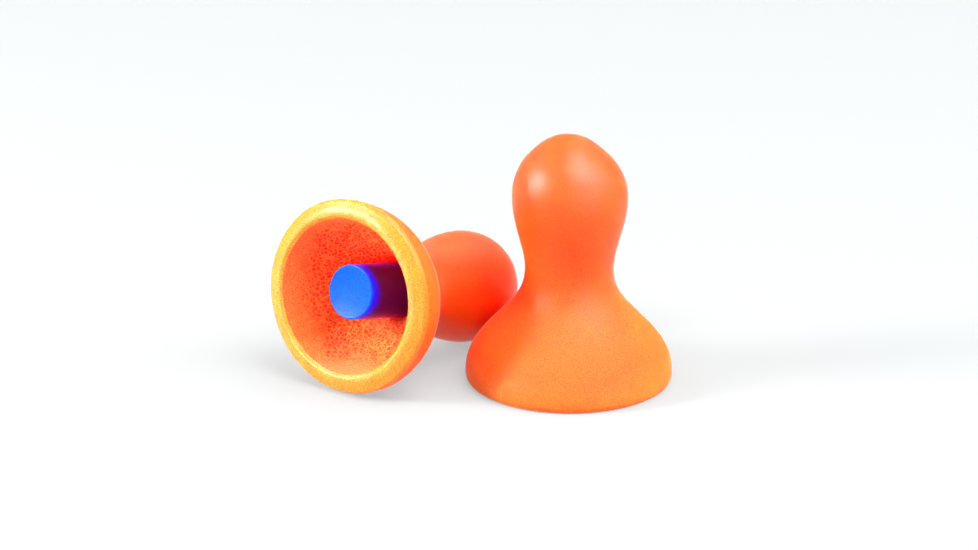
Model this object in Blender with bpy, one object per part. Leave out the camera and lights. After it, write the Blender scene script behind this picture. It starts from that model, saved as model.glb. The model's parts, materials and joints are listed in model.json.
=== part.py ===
"""A pair of foam ear plugs with push stems: one stands on its bell, one lies beside it.

Each plug is one moulded foam body (round bulb, waist and flared hollow bell) with a plastic stem
set in its middle. Units are metres and +Z is up. A plug's own frame has its origin at the centre
of the bell's rim, with +Z along its axis towards the tip of the bulb.
"""
import bmesh
import bpy
from math import atan2, cos, pi, radians, sin, tan
from mathutils import Matrix, Vector

MM = 0.001

# Foam body, radius and height from the rim, in millimetres
HEIGHT = 27.0
BELL_RADIUS, BELL_WIDEST_Z = 11.0, 0.9
FLARE = (7.5, 6.9)             # a point half way up the bell
FLARE_SLOPE = 133.0            # degrees from straight out, at that point
WAIST_RADIUS, WAIST_Z = 4.66, 12.3
BULB_RADIUS, BULB_Z = 6.08, 20.3
SHOULDER = (4.35, 24.6)        # where the bulb turns in towards its blunt tip
SHOULDER_SLOPE = 133.5
REST_LAND = (9.2, 10.2)        # flat ring under the lip that the plug stands on
MOUTH_RADIUS, MOUTH_Z = 8.5, 1.3
BELL_WALL = 1.7

# Push stem
STEM_RADIUS = 2.9
STEM_RECESS = 1.2              # its outer end sits this far inside the rim
STEM_TOP = 19.4
STEM_BEVEL = 0.22
DIMPLE_RADIUS, DIMPLE_DEPTH = 0.45, 0.10
FIT_GAP = 0.3                  # between the stem and the foam round it
PRESS_ROOM = 1.7               # free bore above the stem, for its press travel
BORE_RADIUS = STEM_RADIUS + FIT_GAP
BORE_TOP = STEM_TOP + PRESS_ROOM

# The blunt tip of each bulb is a little off its axis
TIP_SHIFT = {"standing": (-0.25, 0.0), "lying": (0.0, 0.15)}

# The lying plug: where its rim is, from the standing plug's base, and how its soft bell sits
LYING_RIM = (-23.75, -3.95)
LYING_YAW = 38.6               # its axis, turned from +Y towards +X
LYING_SHRINK = 0.07            # its bell has opened less than the standing one's
LYING_LEAN_UP, LYING_LEAN_SIDE = -5.2, -2.7
LYING_SAG = (-0.07, -0.46)     # its bell sits this far off the stem's axis, side and up
BELL_TOP, BELL_STIFF_BAND = 12.0, 10.0

SIDES = 48
FOAM_ORANGE = (1.0, 0.19, 0.035, 1.0)
STEM_BLUE = (0.035, 0.22, 0.90, 1.0)


def clear_scene():
    for item in list(bpy.data.objects):
        bpy.data.objects.remove(item, do_unlink=True)


def make_material(name, colour, roughness):
    material = bpy.data.materials.new(name)
    material.use_nodes = True
    shader = material.node_tree.nodes["Principled BSDF"]
    shader.inputs["Base Color"].default_value = colour
    shader.inputs["Roughness"].default_value = roughness
    shader.inputs["Metallic"].default_value = 0.0
    material.diffuse_color = colour
    return material


def bend(start, start_angle, start_pull, end, end_angle, end_pull, steps):
    """A cubic curve between two (radius, height) points, leaving and arriving at given angles.

    A pull is a handle's length as a share of the distance between the points.
    """
    a, b = Vector(start), Vector(end)
    reach = (b - a).length
    out = Vector((cos(radians(start_angle)), sin(radians(start_angle)))) * reach * start_pull
    into = Vector((cos(radians(end_angle)), sin(radians(end_angle)))) * reach * end_pull
    handles = (a, a + out, b - into, b)
    points = []
    for step in range(1, steps + 1):
        t = step / steps
        weights = ((1 - t) ** 3, 3 * (1 - t) ** 2 * t, 3 * (1 - t) * t * t, t ** 3)
        points.append(tuple(sum((w * h for w, h in zip(weights, handles)), Vector((0, 0)))))
    return points


def outside_outline():
    """From the outer edge of the rest land, over the bell, waist and bulb, to the tip."""
    foot = (REST_LAND[1], 0.0)
    widest = (BELL_RADIUS, BELL_WIDEST_Z)
    waist = (WAIST_RADIUS, WAIST_Z)
    bulb = (BULB_RADIUS, BULB_Z)
    line = [foot]
    line += bend(foot, 0, 0.5, widest, 90, 0.5, 3)
    line += bend(widest, 90, 0.40, FLARE, FLARE_SLOPE, 0.33, 6)
    line += bend(FLARE, FLARE_SLOPE, 0.33, waist, 90, 0.42, 5)
    line += bend(waist, 90, 0.33, bulb, 90, 0.40, 5)
    line += bend(bulb, 90, 0.36, SHOULDER, SHOULDER_SLOPE, 0.33, 5)
    line += bend(SHOULDER, SHOULDER_SLOPE, 0.30, (0.0, HEIGHT), 180, 0.40, 5)
    return line


def inside_outline():
    """From the inner edge of the rest land, up the bell's inside and the bore, to the axis."""
    mouth = (MOUTH_RADIUS, MOUTH_Z)
    slope = radians(FLARE_SLOPE)
    half_way = (FLARE[0] - BELL_WALL * sin(slope), FLARE[1] + BELL_WALL * cos(slope))
    bore_mouth = (BORE_RADIUS, 9.4)
    line = [(REST_LAND[0], 0.0)]
    line += bend((REST_LAND[0], 0.0), 180, 0.5, mouth, 90, 0.5, 3)
    line += bend(mouth, 90, 0.35, half_way, FLARE_SLOPE, 0.33, 4)
    line += bend(half_way, FLARE_SLOPE, 0.33, bore_mouth, 105, 0.35, 4)
    line += [(BORE_RADIUS, 15.0), (BORE_RADIUS, BORE_TOP), (0.0, BORE_TOP)]
    return line


def smoothstep(x):
    x = min(1.0, max(0.0, x))
    return x * x * (3 - 2 * x)


def shift_tip(point, shift):
    """The top of the bulb leans over by shift, and nothing below its widest ring moves."""
    share = smoothstep((point.z - BULB_Z) / (HEIGHT - BULB_Z))
    return point + Vector((shift[0], shift[1], 0.0)) * share


def settle_bell(point):
    """The lying plug's bell: drawn in, leaning and off the stem's axis. The bore stays put."""
    off_bore = smoothstep((Vector(point[:2]).length - BORE_RADIUS) / BELL_WALL)
    share = smoothstep((BELL_TOP - point.z) / BELL_STIFF_BAND) * off_bore
    x = point.x * (1 - LYING_SHRINK * share) + LYING_SAG[0] * share
    y = point.y * (1 - LYING_SHRINK * share) + LYING_SAG[1] * share
    lean = tan(radians(LYING_LEAN_UP)) * y + tan(radians(LYING_LEAN_SIDE)) * x
    return Vector((x, y, point.z + lean * share))


def lathe(name, outline, material, shape=None):
    """A closed solid turned from an outline that starts and ends on the axis, in millimetres."""
    mesh = bmesh.new()
    rings = []
    for radius, height in outline:
        count = 1 if radius < 1e-6 else SIDES
        ring = []
        for i in range(count):
            angle = 2 * pi * i / SIDES
            point = Vector((radius * cos(angle), radius * sin(angle), height))
            point = shape(point) if shape else point
            ring.append(mesh.verts.new(point * MM))
        rings.append(ring)
    for low, high in zip(rings, rings[1:]):
        for i in range(SIDES):
            j = (i + 1) % SIDES
            if len(low) == 1:
                mesh.faces.new((low[0], high[j], high[i]))
            elif len(high) == 1:
                mesh.faces.new((low[i], low[j], high[0]))
            else:
                mesh.faces.new((low[i], low[j], high[j], high[i]))
    bmesh.ops.recalc_face_normals(mesh, faces=mesh.faces)
    data = bpy.data.meshes.new(name)
    mesh.to_mesh(data)
    mesh.free()
    data.shade_smooth()
    data.materials.append(material)
    item = bpy.data.objects.new(name, data)
    bpy.context.scene.collection.objects.link(item)
    return item


def foam_body(name, material, shape):
    """One moulded foam body: its outside, the lip, the hollow bell and the bore for the stem."""
    outline = list(reversed(inside_outline())) + outside_outline()
    return lathe(name, outline, material, shape)


def push_stem(name, material):
    """A solid plastic stem with eased ends and a shallow moulding dimple in its outer end."""
    low, high, ease = STEM_RECESS, STEM_TOP, STEM_BEVEL
    outline = [
        (0.0, low + DIMPLE_DEPTH), (DIMPLE_RADIUS * 0.6, low + DIMPLE_DEPTH * 0.8),
        (DIMPLE_RADIUS, low), (STEM_RADIUS - ease, low),
        (STEM_RADIUS - ease * 0.3, low + ease * 0.3), (STEM_RADIUS, low + ease),
        (STEM_RADIUS, high - ease), (STEM_RADIUS - ease, high), (0.0, high),
    ]
    return lathe(name, outline, material)


def plug_axes(yaw, tilt):
    """Side, up and axis directions of a plug lying with its axis turned by yaw, tipped by tilt."""
    axis = Vector((sin(yaw) * cos(tilt), cos(yaw) * cos(tilt), -sin(tilt)))
    side = Vector((-cos(yaw), sin(yaw), 0.0))
    return side, axis.cross(side), axis


def lie_down(body):
    """The tilt and rim height at which a plug rests on its bell's edge and on its bulb."""
    points = [vertex.co / MM for vertex in body.data.vertices]
    bell = [p for p in points if p.z < FLARE[1]]
    bulb = [p for p in points if p.z > WAIST_Z]
    yaw, tilt = radians(LYING_YAW), 0.2
    for _ in range(20):
        side, up, axis = plug_axes(yaw, tilt)
        to_world = Matrix((side, up, axis)).transposed()
        low_bell = min(bell, key=lambda p: (to_world @ p).z)
        low_bulb = min(bulb, key=lambda p: (to_world @ p).z)
        tilt = atan2(low_bulb.y - low_bell.y, low_bulb.z - low_bell.z)
    side, up, axis = plug_axes(yaw, tilt)
    to_world = Matrix((side, up, axis)).transposed()
    height = -min((to_world @ p).z for p in points)
    return to_world.to_4x4(), height


def add_frame(name, pieces):
    """An empty at a plug's rim centre, on its axis, with the plug's pieces under it."""
    empty = bpy.data.objects.new(name, None)
    empty.empty_display_size = 5 * MM
    bpy.context.scene.collection.objects.link(empty)
    for piece in pieces:
        piece.parent = empty
    return empty


def centre_on_origin(frames):
    """Slides both plugs level, so that the pair's box is centred over the origin."""
    bpy.context.view_layer.update()
    corners = [piece.matrix_world @ vertex.co
               for frame in frames for piece in frame.children for vertex in piece.data.vertices]
    for axis in (0, 1):
        values = [corner[axis] for corner in corners]
        middle = (min(values) + max(values)) / 2
        for frame in frames:
            frame.location[axis] -= middle
    bpy.context.view_layer.update()


def main():
    clear_scene()
    foam = make_material("moulded_orange_foam", FOAM_ORANGE, 0.62)
    plastic = make_material("blue_stem_plastic", STEM_BLUE, 0.42)

    standing_body = foam_body(
        "standing_foam_body", foam, lambda p: shift_tip(p, TIP_SHIFT["standing"]))
    standing_stem = push_stem("standing_stem", plastic)
    standing = add_frame("standing_plug_frame", [standing_body, standing_stem])

    lying_body = foam_body(
        "lying_foam_body", foam, lambda p: settle_bell(shift_tip(p, TIP_SHIFT["lying"])))
    lying_stem = push_stem("lying_stem", plastic)
    turn, rim_height = lie_down(lying_body)
    lying = add_frame("lying_plug_frame", [lying_body, lying_stem])
    rim = Vector((LYING_RIM[0], LYING_RIM[1], rim_height)) * MM
    lying.matrix_world = Matrix.Translation(rim) @ turn

    centre_on_origin([standing, lying])


main()
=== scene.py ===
"""The looks of a pair of foam ear plugs: skin, lips, open-celled bells and push stems.

Sizes of a plug's own shape are in millimetres, in the plug's own frame: origin at the centre of the
bell's rim, +Z along the axis towards the bulb's tip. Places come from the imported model.
"""
import json
from math import cos, pi, radians, sin, tan

import bpy
import numpy as np
from mathutils import Euler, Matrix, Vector


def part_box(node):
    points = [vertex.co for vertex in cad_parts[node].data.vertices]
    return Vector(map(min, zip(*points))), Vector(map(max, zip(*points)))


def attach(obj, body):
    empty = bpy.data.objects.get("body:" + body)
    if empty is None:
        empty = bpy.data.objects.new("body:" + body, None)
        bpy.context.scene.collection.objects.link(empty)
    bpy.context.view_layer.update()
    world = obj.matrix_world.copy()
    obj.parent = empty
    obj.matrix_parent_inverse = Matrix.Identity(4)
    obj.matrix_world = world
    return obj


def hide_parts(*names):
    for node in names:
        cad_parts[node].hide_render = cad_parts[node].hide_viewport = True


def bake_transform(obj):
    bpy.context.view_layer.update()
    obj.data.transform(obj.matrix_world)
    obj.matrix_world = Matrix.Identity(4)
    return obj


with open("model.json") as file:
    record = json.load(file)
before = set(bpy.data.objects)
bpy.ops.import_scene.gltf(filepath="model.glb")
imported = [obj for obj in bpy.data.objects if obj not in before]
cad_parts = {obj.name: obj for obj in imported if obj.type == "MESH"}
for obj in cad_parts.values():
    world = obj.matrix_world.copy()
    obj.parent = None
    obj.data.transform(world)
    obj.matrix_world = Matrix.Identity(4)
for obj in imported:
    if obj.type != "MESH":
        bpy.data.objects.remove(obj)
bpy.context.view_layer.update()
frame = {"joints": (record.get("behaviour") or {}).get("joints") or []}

MM = 0.001

# Foam body, radius and height from the rim
HEIGHT = 27.0
BELL_RADIUS, BELL_WIDEST_Z = 11.0, 0.9
FLARE, FLARE_SLOPE = (7.5, 6.9), 133.0
WAIST_RADIUS, WAIST_Z = 4.66, 12.3
BULB_RADIUS, BULB_Z = 6.08, 20.3
SHOULDER, SHOULDER_SLOPE = (4.35, 24.6), 133.5
LIP_CROWN = 9.4                # the free lip is rounded from here to its mould line
LIP_SHOULDER, LIP_SHOULDER_SLOPE = (10.35, 0.30), 31.0
PRESSED_LAND = 10.2            # the standing plug's lip lies flat on the table out to here
MOUTH_EDGE = (8.88, 0.26)      # the crisp inner edge of the lip
LIP_TOP_Z = 1.0                # the mould line where the lip meets the bell's side
BELL_WALL = 1.7
BORE_MOUTH_Z, BORE_START_Z = 9.4, 9.8  # where the bell's inside meets the stem, and the first ring above
BORE_TOP = 21.1

# What varies over the foam, as heights from the rim
THIN_TOP, THIN_BAND = 14.5, 8.5        # below the top of this band the foam thins towards the rim
FOOT_PALE, FOOT_TOP, FOOT_BAND = 0.35, 4.0, 3.0    # the bell's foot is a little like the lip
LIP_ABOVE, LIP_BAND = 0.5, 0.7         # the lip's own look ends this far above its mould line
CELL_SIZE, CELL_DEPTH = 0.60, 0.15     # open cells of the bell's inside
LINE_HEIGHT, LINE_WIDTH = 0.035, 0.11  # the mould line round the lip
LINE_REACH, LINE_FADE = 65, 45         # how far round it goes, and fades over, in degrees

# Push stem
STEM_RADIUS = 2.9
STEM_RECESS = 1.2
STEM_TOP = 19.4
STEM_DISH = 0.24               # its outer end is a little hollow
STEM_EASE = 0.16               # how far its edges are rounded
BOND_GAP = 0.02                # between the stem and the visible foam round it

# How each plug's soft foam sits
STANDING_TIP_SHIFT = (-0.25, 0.0)
LYING_TIP_SHIFT = (0.0, 0.15)
LYING_SHRINK = 0.07
LYING_LEAN_UP, LYING_LEAN_SIDE = -5.2, -2.7
LYING_SAG = (-0.07, -0.46)
BELL_TOP, BELL_STIFF_BAND = 12.0, 10.0
LYING_MOULD_LINE = 125.0       # where round the lip its mould line and the highlight painted along it stand out most, in degrees

# From the standing plug's base, in metres
LIGHT_AIM = (-0.008, 0.0, 0.012)
CAMERA_PLACE = (-0.00848, -0.39774, 0.15658)
CAMERA_DIP = 20.04             # how far the camera looks down, in degrees
CAMERA_LENS = 147.6            # on a film 36 mm wide

# Mesh density
SIDES = 460
OUTER_STEP = 0.48
LIP_STEP = 0.11
INNER_STEP = 0.1
STEM_SIDES = 120


# ---------------------------------------------------------------- where the plugs are

def plug_place(stem_node, axis):
    """Rim centre and (side, up, axis) directions of the plug that holds this stem."""
    low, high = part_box(stem_node)
    axis = Vector(axis).normalized()
    rim = (low + high) / 2 - axis * (STEM_RECESS + STEM_TOP) / 2 * MM
    if axis.z > 0.99:
        side = Vector((1, 0, 0))
    else:
        side = Vector((-axis.y, axis.x, 0)).normalized()
    return np.array(rim), np.array((side, axis.cross(side), axis))


def joint_axis(name):
    return next(joint["axis"] for joint in frame["joints"] if joint["name"] == name)


STANDING = plug_place("standing_stem", joint_axis("standing_stem_press"))
LYING = plug_place("lying_stem", joint_axis("lying_stem_press"))


def to_world(points, place):
    """Points of a plug, in millimetres, as world points in metres."""
    rim, axes = place
    return rim + (points * MM) @ axes


# ---------------------------------------------------------------- smooth random fields

def hashed(cells, seed):
    """A repeatable random number from 0 to 1 for each row of whole numbers."""
    n = cells.astype(np.int64)
    mix = (n[..., 0] * 73856093) ^ (n[..., 1] * 19349663) ^ (n[..., 2] * 83492791) ^ (seed * 2654435)
    mix = (mix ^ (mix >> 13)) * 1274126177
    mix = mix ^ (mix >> 16)
    return (mix & 0xFFFFFF) / float(0xFFFFFF)


def noise(points, size, seed):
    """Smooth noise from -1 to 1 whose lumps are about size across."""
    scaled = points / size
    base = np.floor(scaled)
    t = scaled - base
    t = t * t * (3 - 2 * t)
    total = np.zeros(len(points))
    for corner in range(8):
        offset = np.array([(corner >> k) & 1 for k in range(3)])
        weight = np.prod(np.where(offset, t, 1 - t), axis=1)
        total += weight * hashed(base + offset, seed)
    return total * 2 - 1


def cells(points, size, seed):
    """Distance to the nearest and second nearest of scattered points, in units of size."""
    scaled = points / size
    base = np.floor(scaled)
    first = np.full(len(points), 9.0)
    second = np.full(len(points), 9.0)
    for step in np.ndindex(3, 3, 3):
        cell = base + np.array(step) - 1
        spot = cell + np.stack([hashed(cell, seed + k) for k in range(3)], axis=-1)
        gap = np.linalg.norm(scaled - spot, axis=1)
        second = np.minimum(second, np.maximum(first, gap))
        first = np.minimum(first, gap)
    return first, second


def smoothstep(x):
    x = np.clip(x, 0.0, 1.0)
    return x * x * (3 - 2 * x)


# ---------------------------------------------------------------- outlines

def bend(start, start_angle, start_pull, end, end_angle, end_pull):
    """A cubic curve between two (radius, height) points, leaving and arriving at given angles.

    A pull is a handle's length as a share of the distance between the points.
    """
    a, b = np.array(start, float), np.array(end, float)
    reach = np.linalg.norm(b - a)
    lead = radians(start_angle), radians(end_angle)
    out = np.array((cos(lead[0]), sin(lead[0]))) * reach * start_pull
    into = np.array((cos(lead[1]), sin(lead[1]))) * reach * end_pull
    t = np.linspace(0, 1, 60)[1:, None]
    return ((1 - t) ** 3 * a + 3 * (1 - t) ** 2 * t * (a + out)
            + 3 * (1 - t) * t * t * (b - into) + t ** 3 * b)


def lip_outline(pressed):
    """From the lip's crown to a little above its widest ring."""
    crown, widest = (LIP_CROWN, 0.0), (BELL_RADIUS, BELL_WIDEST_Z)
    flare = bend(widest, 90, 0.40, FLARE, FLARE_SLOPE, 0.33)[:8]
    if pressed:
        land = (PRESSED_LAND, 0.0)
        return np.concatenate([[crown, land], bend(land, 0, 0.5, widest, 90, 0.5), flare])
    return np.concatenate([
        [crown], bend(crown, 2, 0.30, LIP_SHOULDER, LIP_SHOULDER_SLOPE, 0.40),
        bend(LIP_SHOULDER, LIP_SHOULDER_SLOPE, 0.45, widest, 90, 0.45), flare])


def outside_outline():
    """From a little above the widest ring, over the bell, waist and bulb, to the tip."""
    widest, waist = (BELL_RADIUS, BELL_WIDEST_Z), (WAIST_RADIUS, WAIST_Z)
    bulb = (BULB_RADIUS, BULB_Z)
    return np.concatenate([
        bend(widest, 90, 0.40, FLARE, FLARE_SLOPE, 0.33)[7:],
        bend(FLARE, FLARE_SLOPE, 0.33, waist, 90, 0.42),
        bend(waist, 90, 0.33, bulb, 90, 0.40),
        bend(bulb, 90, 0.36, SHOULDER, SHOULDER_SLOPE, 0.33),
        bend(SHOULDER, SHOULDER_SLOPE, 0.30, (0.0, HEIGHT), 180, 0.40),
    ])


def inside_outline():
    """From the lip's crisp edge, up the bell's inside, to where the foam closes on the stem."""
    slope = radians(FLARE_SLOPE)
    half_way = (FLARE[0] - BELL_WALL * sin(slope), FLARE[1] + BELL_WALL * cos(slope))
    return np.concatenate([
        [MOUTH_EDGE],
        bend(MOUTH_EDGE, 100, 0.35, half_way, FLARE_SLOPE, 0.33),
        bend(half_way, FLARE_SLOPE, 0.33, (STEM_RADIUS + BOND_GAP, BORE_MOUTH_Z), 105, 0.35),
    ])


def evenly(line, step):
    """The same outline with its points about step apart."""
    gaps = np.linalg.norm(np.diff(line, axis=0), axis=1)
    along = np.concatenate([[0], np.cumsum(gaps)])
    count = max(2, int(round(along[-1] / step)))
    wanted = np.linspace(0, along[-1], count + 1)
    return np.stack([np.interp(wanted, along, line[:, k]) for k in range(2)], axis=1)


def turned(outline, sides, end_z):
    """Points, four-sided faces and end fans of a closed solid turned from an outline."""
    angle = np.linspace(0, 2 * pi, sides, endpoint=False)
    rings = np.stack([
        outline[:, None, 0] * np.cos(angle), outline[:, None, 0] * np.sin(angle),
        np.repeat(outline[:, None, 1], sides, axis=1)], axis=-1)
    points = np.concatenate([rings.reshape(-1, 3), [(0, 0, outline[0][1]), (0, 0, end_z)]])
    ring, side = np.meshgrid(np.arange(len(outline) - 1), np.arange(sides), indexing="ij")
    here, there = ring * sides + side, ring * sides + (side + 1) % sides
    quads = np.stack([here, there, there + sides, here + sides], axis=-1).reshape(-1, 4)
    start, end = len(points) - 2, len(points) - 1
    last = (len(outline) - 1) * sides
    fans = ([(start, (s + 1) % sides, s) for s in range(sides)]
            + [(last + s, last + (s + 1) % sides, end) for s in range(sides)])
    return points, quads, fans


# ---------------------------------------------------------------- foam bodies

def shift_tip(points, shift):
    """The top of the bulb leans over by shift, and nothing below its widest ring moves."""
    share = smoothstep((points[:, 2] - BULB_Z) / (HEIGHT - BULB_Z))
    moved = points.copy()
    moved[:, :2] += share[:, None] * np.array(shift)
    return moved


def settle_bell(points):
    """The lying plug's bell: drawn in, leaning and off the stem's axis. The bore stays put."""
    bore = STEM_RADIUS + BOND_GAP
    off_bore = smoothstep((np.hypot(points[:, 0], points[:, 1]) - bore) / BELL_WALL)
    share = smoothstep((BELL_TOP - points[:, 2]) / BELL_STIFF_BAND) * off_bore
    x = points[:, 0] * (1 - LYING_SHRINK * share) + LYING_SAG[0] * share
    y = points[:, 1] * (1 - LYING_SHRINK * share) + LYING_SAG[1] * share
    lean = tan(radians(LYING_LEAN_UP)) * y + tan(radians(LYING_LEAN_SIDE)) * x
    return np.stack([x, y, points[:, 2] + lean * share], axis=1)


def vertex_normals(points, faces):
    a, b, c, d = (points[faces[:, k]] for k in range(4))
    flat = np.cross(c - a, d - b)
    total = np.zeros_like(points)
    for k in range(4):
        np.add.at(total, faces[:, k], flat)
    return total / np.maximum(np.linalg.norm(total, axis=1, keepdims=True), 1e-12)


def foam_grid(pressed):
    """Points, faces and which points are inside, for one closed foam body of revolution."""
    bore = np.array([(STEM_RADIUS + BOND_GAP, z) for z in np.linspace(BORE_TOP, BORE_START_Z, 6)])
    inner = evenly(inside_outline(), INNER_STEP)[::-1]
    edge = evenly(bend(MOUTH_EDGE, -40, 0.4, (LIP_CROWN, 0.0), 0, 0.4), LIP_STEP)[:-1]
    lip = evenly(lip_outline(pressed), LIP_STEP)
    outer = evenly(outside_outline(), OUTER_STEP)[1:-1]
    outline = np.concatenate([bore, inner, edge, lip, outer])
    points, quads, fans = turned(outline, SIDES, HEIGHT)
    row = np.concatenate([np.repeat(np.arange(len(outline)), SIDES), [0, len(outline) - 1]])
    return points, quads, fans, row < len(bore) + len(inner)


def foam_relief(points, inside, seed):
    """How far each point stands out, in millimetres, how deep in a cell it is, and how wide cells are."""
    depth = points[:, 2]
    lumps = 0.045 * noise(points, 5.0, seed) + 0.012 * noise(points, 0.9, seed + 1)
    grain = 0.005 * noise(points, 0.28, seed + 2)
    open_cells = smoothstep((depth - 0.5) / 1.2) * inside
    wide = smoothstep((depth - 2.2 + 2.0 * noise(points, 3.0, seed + 7)) / 2.0) * inside
    first, second = cells(points, CELL_SIZE, seed + 3)
    pit = smoothstep((second - first) / 0.28) * smoothstep((0.8 - first) / 0.4)
    pit *= open_cells * (0.25 + 0.75 * wide)
    return lumps + grain - CELL_DEPTH * pit, pit, wide


def mould_line(points, inside, middle):
    """A fine raised line round the lip, which fades out away from the angle called middle. The foam's
    colour paints a highlight along the same line.
    """
    if middle is None:
        return np.zeros(len(points))
    angle = np.degrees(np.arctan2(points[:, 1], points[:, 0])) - middle
    angle = np.abs((angle + 180) % 360 - 180)
    line = np.exp(-((points[:, 2] - LIP_TOP_Z) / LINE_WIDTH) ** 2)
    return line * smoothstep((LINE_REACH - angle) / LINE_FADE) * ~inside


def add_mesh(name, points, quads, fans, material, **values):
    """A mesh object from world points. Values are stored by name at each point."""
    mesh = bpy.data.meshes.new(name)
    mesh.from_pydata(points.tolist(), [], quads.tolist() + fans)
    mesh.shade_smooth()
    mesh.materials.append(material)
    for key, numbers in values.items():
        numbers = np.asarray(numbers, np.float32)
        if numbers.ndim == 2:
            mesh.attributes.new(key, "FLOAT_VECTOR", "POINT").data.foreach_set("vector", numbers.ravel())
        else:
            mesh.attributes.new(key, "FLOAT", "POINT").data.foreach_set("value", numbers)
    piece = bpy.data.objects.new(name, mesh)
    bpy.context.scene.collection.objects.link(piece)
    return piece


def foam_body(name, place, shapes, seed, material, pressed=False, line_at=None):
    """One foam body. Its bell, lip and bulb carry the values that the foam's material reads."""
    points, quads, fans, inside = foam_grid(pressed)
    own = points.copy()
    relief, pit, wide = foam_relief(points, inside, seed)
    line = mould_line(points, inside, line_at)
    height = points[:, 2]
    lip = FOOT_PALE * smoothstep((FOOT_TOP - height) / FOOT_BAND)
    if not pressed:
        lip += (1 - FOOT_PALE) * smoothstep((LIP_TOP_Z + LIP_ABOVE - height) / LIP_BAND)
    lip = np.where(inside, 0.0, lip)
    thin = np.where(inside, 0.0, smoothstep((THIN_TOP - height) / THIN_BAND))
    for shape in shapes:
        points = shape(points)
    normals = vertex_normals(points, quads)
    relief = np.where(height < 1e-6, 0.0, relief + LINE_HEIGHT * line)
    points = to_world(points + normals * relief[:, None], place)
    points[:, 2] = np.maximum(points[:, 2], 0.0)
    return add_mesh(name, points, quads, fans, material, own_place=own + seed,
                    pit=pit, wide=wide, depth=own[:, 2], thin=thin, lip=lip,
                    open_cells=inside, mould_line=line)


# ---------------------------------------------------------------- push stems

def stem_outline():
    """The stem's outer end, side and inner end, in (radius, height)."""
    low, high, ease = STEM_RECESS, STEM_TOP, STEM_EASE
    edge = STEM_RADIUS - ease
    face = [(r, low + STEM_DISH * (1 - (r / edge) ** 2)
             + 0.012 * float(smoothstep((r - edge + 0.35) / 0.2) * (r < edge - 0.1)))
            for r in np.linspace(0.12, edge, 34)]
    turn = [(edge + ease * sin(a), low + ease * (1 - cos(a))) for a in np.linspace(0, pi / 2, 8)[1:]]
    side = [(STEM_RADIUS, z) for z in np.linspace(low + ease, high - ease, 60)[1:]]
    return np.array(face + turn + side + [(edge, high)])


def push_stem(name, place, seed, material):
    points, quads, fans = turned(stem_outline(), STEM_SIDES, STEM_TOP)
    own = points.copy()
    end_face = np.hypot(points[:, 0], points[:, 1]) < STEM_RADIUS - 0.1
    points[:, 2] += 0.010 * noise(points, 0.7, seed) * end_face
    return add_mesh(name, to_world(points, place), quads, fans, material, own_place=own + seed,
                    side=smoothstep((own[:, 2] - STEM_RECESS - 0.05) / 0.2) * ~end_face,
                    # deep: how far the side runs into the bell, which darkens it with painted shade
                    deep=smoothstep((own[:, 2] - STEM_RECESS - 0.5) / 1.6))


# ---------------------------------------------------------------- materials

class Nodes:
    """A short way to build a material's node tree."""

    def __init__(self, name):
        self.material = bpy.data.materials.new(name)
        self.material.use_nodes = True
        self.tree = self.material.node_tree
        self.shader = self.tree.nodes["Principled BSDF"]

    def add(self, kind, **settings):
        node = self.tree.nodes.new(kind)
        for key, value in settings.items():
            if hasattr(node, key):
                setattr(node, key, value)
            else:
                node.inputs[key.replace("_", " ")].default_value = value
        return node

    def link(self, out, into):
        self.tree.links.new(out, into)

    def number(self, name):
        return self.add("ShaderNodeAttribute", attribute_name=name).outputs["Fac"]

    def noise(self, scale, detail=2.0, roughness=0.5):
        node = self.add("ShaderNodeTexNoise")
        node.inputs["Scale"].default_value = scale
        node.inputs["Detail"].default_value = detail
        node.inputs["Roughness"].default_value = roughness
        self.link(self.place, node.inputs["Vector"])
        return node.outputs["Fac"]

    def own_place(self):
        """Textures sit in the plug's own frame, in millimetres, so that they move with the piece."""
        self.place = self.add("ShaderNodeAttribute", attribute_name="own_place").outputs["Vector"]

    def walls(self, scale):
        """How near a point is to the thin wall between two foam cells, from 0 at the wall."""
        node = self.add("ShaderNodeTexVoronoi", feature="DISTANCE_TO_EDGE")
        node.inputs["Scale"].default_value = scale
        self.link(self.place, node.inputs["Vector"])
        return node.outputs["Distance"]

    def mix(self, share, first, second):
        node = self.add("ShaderNodeMix", data_type="RGBA")
        for socket, value in ((node.inputs[0], share), (node.inputs[6], first), (node.inputs[7], second)):
            if isinstance(value, (int, float)):
                socket.default_value = value
            elif isinstance(value, tuple):
                socket.default_value = (*value, 1.0)
            else:
                self.link(value, socket)
        return node.outputs[2]

    def mix_numbers(self, share, first, second):
        node = self.add("ShaderNodeMix", data_type="FLOAT")
        for socket, value in zip(node.inputs[:1] + node.inputs[2:4], (share, first, second)):
            if isinstance(value, (int, float)):
                socket.default_value = value
            else:
                self.link(value, socket)
        return node.outputs[0]

    def spread(self, value, low, high, to_low=0.0, to_high=1.0):
        node = self.add("ShaderNodeMapRange")
        self.link(value, node.inputs["Value"])
        for key, number in (("From Min", low), ("From Max", high), ("To Min", to_low), ("To Max", to_high)):
            node.inputs[key].default_value = number
        return node.outputs["Result"]

    def bump(self, height, distance, strength=1.0):
        node = self.add("ShaderNodeBump")
        node.inputs["Distance"].default_value = distance
        node.inputs["Strength"].default_value = strength
        self.link(height, node.inputs["Height"])
        return node.outputs["Normal"]


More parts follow.
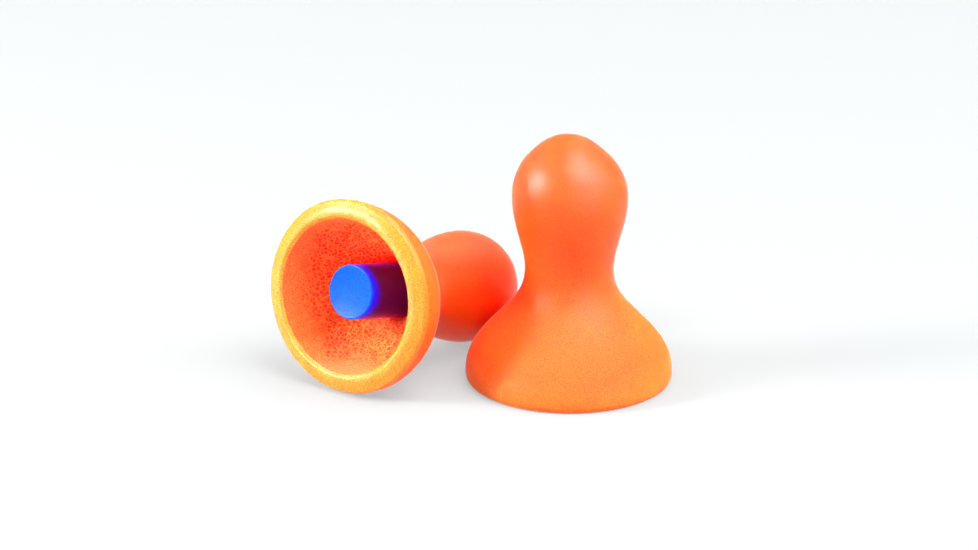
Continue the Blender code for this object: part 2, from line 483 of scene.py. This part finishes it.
def foam_material():
    m = Nodes("moulded_foam_skin")
    m.own_place()
    s = m.shader.inputs
    grain = m.spread(m.noise(7.8, 2, 0.6), 0.32, 0.68)
    thick = m.mix(grain, (0.995, 0.036, 0.0012), (0.995, 0.075, 0.0066))
    thin = m.mix(grain, (0.995, 0.036, 0.0006), (0.995, 0.108, 0.0045))
    lip = m.mix(grain, (0.995, 0.090, 0.0005), (0.995, 0.265, 0.030))
    skin = m.mix(m.number("lip"), m.mix(m.number("thin"), thick, thin), lip)
    # Painted highlight: a pale colour along the mould line, where the key light catches its ridge.
    skin = m.mix(m.spread(m.number("mould_line"), 0.2, 0.9, 0.0, 0.33), skin, (0.995, 0.42, 0.16))
    # Painted sheen: the skin turns pale pink where it faces away from the view, standing in for rim light
    # along the silhouettes.
    edge = m.add("ShaderNodeLayerWeight", Blend=0.5).outputs["Facing"]
    skin = m.mix(m.spread(edge, 0.88, 1.0, 0.0, 0.5), skin, (0.995, 0.50, 0.45))

    # Open cells: lighter walls round darker hollows, partly the foam's own texture and partly painted shade
    # in the hollows. The relief's pits get more painted shade.
    wide_cell = m.spread(m.walls(2.1), 0.02, 0.26)
    fine_cell = m.spread(m.walls(4.2), 0.02, 0.34)
    cell = m.mix_numbers(m.number("wide"), fine_cell, wide_cell)
    cell = m.mix_numbers(0.25, cell, grain)
    inside = m.mix(cell, (0.995, 0.240, 0.045), (0.995, 0.036, 0.004))
    inside = m.mix(m.spread(m.number("pit"), 0.0, 1.0, 0.0, 0.35), inside, (0.995, 0.030, 0.004))
    # Painted shade: the inside turns darker red deep in the bell, near the stem.
    inside = m.mix(m.spread(m.number("depth"), 6.3, 9.2), inside, (0.995, 0.012, 0.002))
    m.link(m.mix(m.number("open_cells"), skin, inside), s["Base Color"])

    gloss = m.spread(m.noise(4.0, 2), 0.3, 0.7, 0.32, 0.40)
    bell_gloss = m.spread(m.number("depth"), 5.0, 12.5, 0.74, 0.46)
    gloss = m.mix_numbers(m.number("thin"), gloss, bell_gloss)
    gloss = m.mix_numbers(m.number("lip"), gloss, 0.20)
    m.link(m.mix_numbers(m.number("open_cells"), gloss, 0.10), s["Roughness"])
    s["Subsurface Weight"].default_value = 1.0
    s["Subsurface Radius"].default_value = (1.0, 0.005, 0.003)
    s["Subsurface Scale"].default_value = 0.015
    s["Specular IOR Level"].default_value = 0.24
    s["Sheen Weight"].default_value = 0.05
    s["Sheen Roughness"].default_value = 0.20
    skin_bump = m.bump(m.noise(7.0, 2, 0.6), 0.00005, 0.8)
    cell_bump = m.bump(m.mix_numbers(0.30, cell, m.noise(9.0, 1)), 0.00028, 1.0)
    blend = m.add("ShaderNodeMix", data_type="VECTOR")
    m.link(m.number("open_cells"), blend.inputs[0])
    m.link(skin_bump, blend.inputs[4])
    m.link(cell_bump, blend.inputs[5])
    m.link(blend.outputs[1], s["Normal"])
    return m.material


def stem_material():
    m = Nodes("stem_blue_plastic")
    m.own_place()
    s = m.shader.inputs
    tone = m.spread(m.noise(5.5, 3), 0.3, 0.7)
    end = m.mix(tone, (0.0002, 0.040, 0.44), (0.0006, 0.082, 0.64))
    # Painted shade and red bounce: the side turns dark purple deeper inside the bell.
    side = m.mix(m.number("deep"), (0.004, 0.006, 0.99), (0.050, 0.001, 0.12))
    # Painted reflection: the side turns magenta along its silhouettes, standing in for red light from the
    # foam round it.
    edge = m.add("ShaderNodeLayerWeight", Blend=0.5).outputs["Facing"]
    side = m.mix(m.spread(edge, 0.72, 0.98), side, (0.30, 0.001, 0.45))
    m.link(m.mix(m.number("side"), end, side), s["Base Color"])
    m.link(m.spread(m.noise(2.6, 4, 0.6), 0.3, 0.7, 0.30, 0.44), s["Roughness"])
    s["Specular IOR Level"].default_value = 0.12
    s["Subsurface Weight"].default_value = 0.7
    s["Subsurface Radius"].default_value = (0.05, 0.15, 1.0)
    s["Subsurface Scale"].default_value = 0.0012
    m.link(m.bump(m.noise(4.2, 4, 0.65), 0.00002, 0.5), s["Normal"])
    return m.material


def floor_material():
    m = Nodes("studio_floor_white")
    m.shader.inputs["Base Color"].default_value = (0.070, 0.072, 0.072, 1)
    m.shader.inputs["Roughness"].default_value = 0.9
    m.shader.inputs["Specular IOR Level"].default_value = 0.1
    return m.material


# ---------------------------------------------------------------- stage

def add_floor():
    """A floor that curves up into a backdrop, all in one pale surface, with lights of its own.

    They light nothing else, and keep the floor white and its shadows faint.
    """
    half, back, rise = 1.6, 0.9, 1.2
    bend_radius = 0.4
    profile = [(-1.6, 0.0), (back - bend_radius, 0.0)]
    profile += [(back - bend_radius + bend_radius * sin(a), bend_radius * (1 - cos(a)))
                for a in np.linspace(0, pi / 2, 16)[1:]]
    profile.append((back, rise))
    points = [(x, y, z) for y, z in profile for x in (-half, half)]
    faces = [(2 * i, 2 * i + 1, 2 * i + 3, 2 * i + 2) for i in range(len(profile) - 1)]
    mesh = bpy.data.meshes.new("studio_floor")
    mesh.from_pydata(points, [], faces)
    mesh.shade_smooth()
    mesh.materials.append(floor_material())
    floor = bpy.data.objects.new("studio_floor", mesh)
    bpy.context.scene.collection.objects.link(floor)
    wash = add_light("floor_wash", 0, 89, 1.2, (2.4, 2.4), 270.0)
    wash.data.use_shadow = False
    for light in (wash, add_light("floor_right_card", 78, 34, 0.60, (0.34, 0.20), 5.0),
                  add_light("floor_left_card", -78, 34, 0.60, (0.34, 0.20), 3.5)):
        only_on(light, floor)


def add_light(name, azimuth, elevation, distance, size, power):
    """A soft square light. Azimuth is from the camera's side, positive to the right, in degrees."""
    data = bpy.data.lights.new(name, "AREA")
    data.shape = "RECTANGLE"
    data.size, data.size_y = size
    data.energy = power
    light = bpy.data.objects.new(name, data)
    middle = Vector(STANDING[0]) + Vector(LIGHT_AIM)
    turn, lift = radians(azimuth), radians(elevation)
    away = Vector((sin(turn) * cos(lift), -cos(turn) * cos(lift), sin(lift)))
    light.location = middle + away * distance
    light.rotation_euler = (-away).to_track_quat("-Z", "Y").to_euler()
    light.visible_camera = False
    bpy.context.scene.collection.objects.link(light)
    return light


def only_on(light, item):
    """The light reaches this one object."""
    group = bpy.data.collections.new(light.name + "_reach")
    group.objects.link(item)
    light.light_linking.receiver_collection = group


def add_lights(standing, lying):
    """The two foam bodies, standing and lying, are each lit by cards of their own as well."""
    add_light("key_softbox", 52, 60, 0.60, (0.40, 0.40), 10.5)
    add_light("left_lamp", -78, 27, 0.40, (0.09, 0.09), 4.4)
    add_light("front_card", 0, 10, 0.80, (0.40, 0.30), 1.1)
    add_light("back_left_card", -140, 30, 0.60, (0.35, 0.30), 0.4)
    add_light("back_right_card", 150, 40, 0.60, (0.35, 0.30), 0.6)
    only_on(add_light("front_right_card", 42, 12, 0.70, (0.35, 0.30), 3.4), standing)
    only_on(add_light("right_card", 88, 30, 0.60, (0.30, 0.30), 2.1), standing)
    only_on(add_light("mouth_card", -66, 1, 0.30, (0.16, 0.03), 0.75), lying)
    world = bpy.data.worlds.new("studio_world")
    bpy.context.scene.world = world
    world.use_nodes = True
    sky = world.node_tree.nodes["Background"]
    sky.inputs["Color"].default_value = (1, 1, 1, 1)
    sky.inputs["Strength"].default_value = 0.6


def add_camera():
    """The camera's height, distance and pitch, seen from the standing plug's base."""
    data = bpy.data.cameras.new("photo_camera")
    data.lens = CAMERA_LENS
    data.sensor_width = 36.0
    data.clip_start, data.clip_end = 0.01, 10
    camera = bpy.data.objects.new("photo_camera", data)
    camera.location = Vector(STANDING[0]) + Vector(CAMERA_PLACE)
    camera.rotation_euler = Euler((radians(90 - CAMERA_DIP), 0, 0))
    bpy.context.scene.collection.objects.link(camera)
    bpy.context.scene.camera = camera


def bond(piece, node):
    """A foam body in place of the imported part: its place is baked into its points, and the imported part
    is hidden.
    """
    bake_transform(piece)
    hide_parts(node)


def main():
    foam, plastic = foam_material(), stem_material()

    standing = foam_body("standing_foam_skin", STANDING,
                         [lambda p: shift_tip(p, STANDING_TIP_SHIFT)], 11, foam, pressed=True)
    bond(standing, "standing_foam_body")
    lying = foam_body("lying_foam_skin", LYING,
                      [lambda p: shift_tip(p, LYING_TIP_SHIFT), settle_bell], 47, foam,
                      line_at=LYING_MOULD_LINE)
    bond(lying, "lying_foam_body")

    for name, place, body, node, seed in (
            ("standing_push_stem", STANDING, "standing_stem_body", "standing_stem", 5),
            ("lying_push_stem", LYING, "lying_stem_body", "lying_stem", 9)):
        stem = push_stem(name, place, seed, plastic)
        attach(stem, body)
        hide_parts(node)

    add_floor()
    add_lights(standing, lying)
    add_camera()
    bpy.context.scene.view_settings.view_transform = "Standard"


main()
